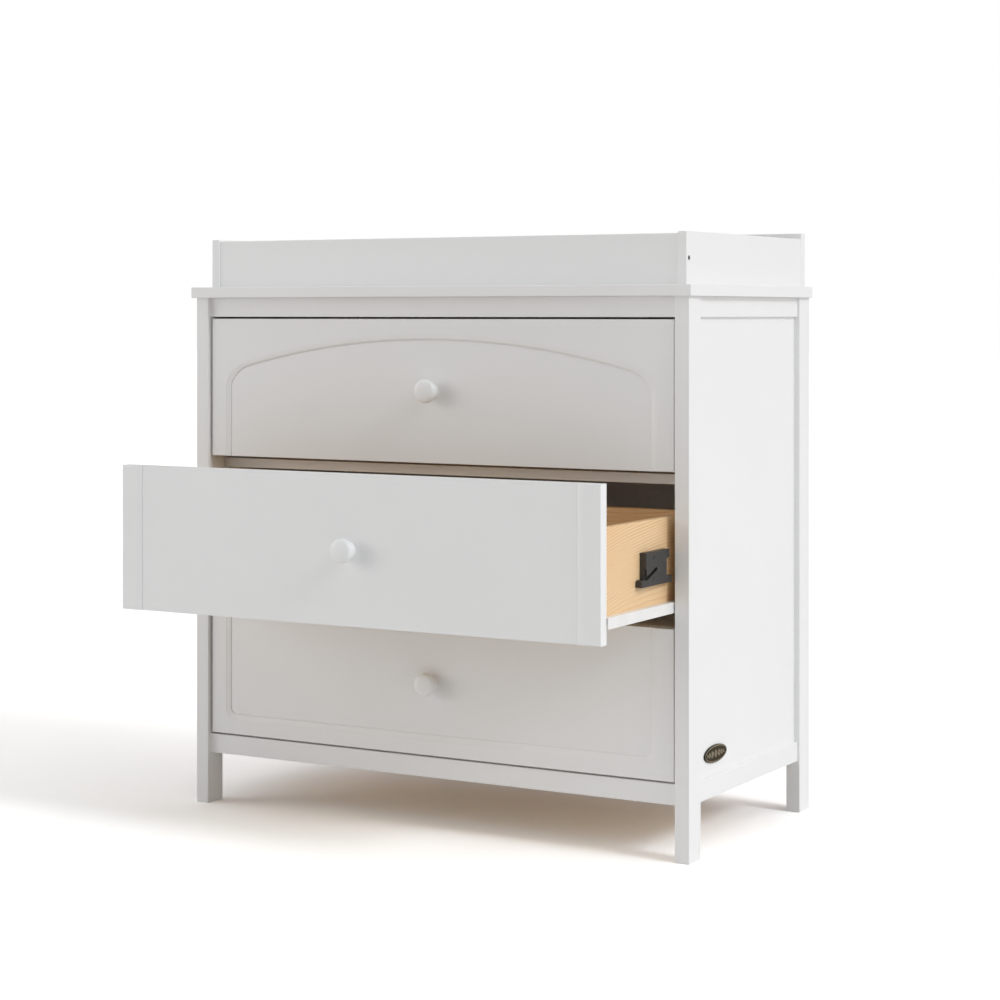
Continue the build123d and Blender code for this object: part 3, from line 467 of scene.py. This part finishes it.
for kind in DRAWERS:
    lo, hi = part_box(kind + "_drawer_front")
    yf = lo.y
    bm = bmesh.new()
    bmesh.ops.create_cube(bm, size=1.0)
    for v in bm.verts:
        v.co = Vector((lo.x + (v.co.x + 0.5) * (hi.x - lo.x), lo.y + (v.co.y + 0.5) * (hi.y - lo.y), lo.z + (v.co.z + 0.5) * (hi.z - lo.z)))
    front_edges = [e for e in bm.edges if all(abs(v.co.y - lo.y) < 1e-7 for v in e.verts)]
    bmesh.ops.bevel(bm, geom=front_edges, offset=0.0013, segments=6, profile=0.5, affect="EDGES")
    rear_edges = [e for e in bm.edges if all(abs(v.co.y - hi.y) < 1e-7 for v in e.verts)]
    bmesh.ops.bevel(bm, geom=rear_edges, offset=0.0005, segments=2, profile=0.5, affect="EDGES")
    slab = new_object(kind + "_drawer_front_painted", bm)
    # cutter: the field with its moulded band
    rings = [(-1, BAND)] + [(i, BAND - s / 1000) for i, (s, down) in enumerate(MOULD)]
    bm = bmesh.new()
    loops = [[bm.verts.new((x, yf + sunk(i, x, z) / 1000, z)) for x, z in field_outline(kind, w, lo.z, hi.z)] for i, w in rings]
    for a, b in zip(loops, loops[1:]):
        for i in range(len(a)):
            j = (i + 1) % len(a)
            bm.faces.new((a[i], a[j], b[j], b[i]))
    bm.faces.new(loops[0])
    bm.faces.new(loops[-1])
    cutter = new_object("cutter", bm)
    cut = slab.modifiers.new("field", "BOOLEAN")
    cut.operation, cut.solver, cut.object = "DIFFERENCE", "EXACT", cutter
    apply(slab)
    bpy.data.objects.remove(cutter)
    mesh = slab.data
    mesh.polygons.foreach_set("use_smooth", [True] * len(mesh.polygons))
    mesh.set_sharp_from_angle(angle=math.radians(20))
    even = slab.modifiers.new("even", "WEIGHTED_NORMAL")
    even.mode, even.weight, even.keep_sharp = "FACE_AREA", 100, True
    mesh.materials.clear()
    mesh.materials.append(mats["white_paint"])
    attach(slab, kind + "_drawer")
    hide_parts(kind + "_drawer_front")

# ---------------------------------------------------------------- knobs
PROFILE = [(13.3, 0.0), (13.3, 1.5), (12.4, 6.0), (14.6, 10.0), (18.1, 13.6), (18.1, 17.6), (15.8, 21.9), (9.0, 23.6), (0.0, 23.9)]


def smooth_line(points, n):
    """Points on a centripetal-like curve through the given ones."""
    out = []
    for i in range(len(points) - 1):
        p0 = points[max(i - 1, 0)]
        p1, p2 = points[i], points[i + 1]
        p3 = points[min(i + 2, len(points) - 1)]
        for k in range(n):
            t = k / n
            out.append(tuple(0.5 * (2 * b + (c - a) * t + (2 * a - 5 * b + 4 * c - e) * t * t + (3 * b - a - 3 * c + e) * t ** 3)
                             for a, b, c, e in zip(p0, p1, p2, p3)))
    return out + [points[-1]]


for kind in DRAWERS:
    lo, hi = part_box(kind + "_drawer_knob")
    cz = (lo.z + hi.z) / 2
    field_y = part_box(kind + "_drawer_front")[0].y + DEPTH
    line = [(min(max(r, 0.0), 18.15) / 1000, min(max(h, 0.0), 23.95) / 1000) for r, h in smooth_line(PROFILE, 6)]
    bm = bmesh.new()
    n = 72
    rings = []
    for r, h in line[:-1]:
        rings.append([bm.verts.new((r * math.cos(2 * math.pi * i / n), field_y - h, cz + r * math.sin(2 * math.pi * i / n))) for i in range(n)])
    tip = bm.verts.new((0.0, field_y - line[-1][1], cz))
    for a, b in zip(rings, rings[1:]):
        for i in range(n):
            bm.faces.new((a[i], a[(i + 1) % n], b[(i + 1) % n], b[i]))
    for i in range(n):
        bm.faces.new((rings[-1][i], rings[-1][(i + 1) % n], tip))
    bm.faces.new(rings[0])
    knob = new_object(kind + "_drawer_knob_turned", bm, 40)
    knob.data.materials.append(mats["white_paint"])
    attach(knob, kind + "_drawer")
    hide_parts(kind + "_drawer_knob")

# ---------------------------------------------------------------- floor
bm = bmesh.new()
bmesh.ops.create_grid(bm, x_segments=1, y_segments=1, size=40.0)
floor = new_object("studio_floor", bm)


def floor_look(t):
    """A white studio floor. The camera sees it over-exposed; its bounce on to the object stays that of plain white."""
    p = t.coords()
    tone = t.map(t.noise(p, 3.0, 2.0, 0.5), 0.3, 0.7, 0.995, 1.0)
    plain = t.node("ShaderNodeBsdfDiffuse")
    t.put(plain.inputs["Color"], t.vmath("SCALE", FLOOR, scale=tone))
    seen = t.node("ShaderNodeBsdfDiffuse")
    t.put(seen.inputs["Color"], t.vmath("SCALE", tuple(c * FLOOR_GAIN for c in FLOOR), scale=tone))
    pick = t.node("ShaderNodeMixShader")
    t.put(pick.inputs[0], t.node("ShaderNodeLightPath").outputs["Is Camera Ray"])
    t.t.links.new(plain.outputs[0], pick.inputs[1])
    t.t.links.new(seen.outputs[0], pick.inputs[2])
    out = t.node("ShaderNodeOutputMaterial")
    t.t.links.new(pick.outputs[0], out.inputs["Surface"])


floor.data.materials.append(material("floor_m", floor_look))
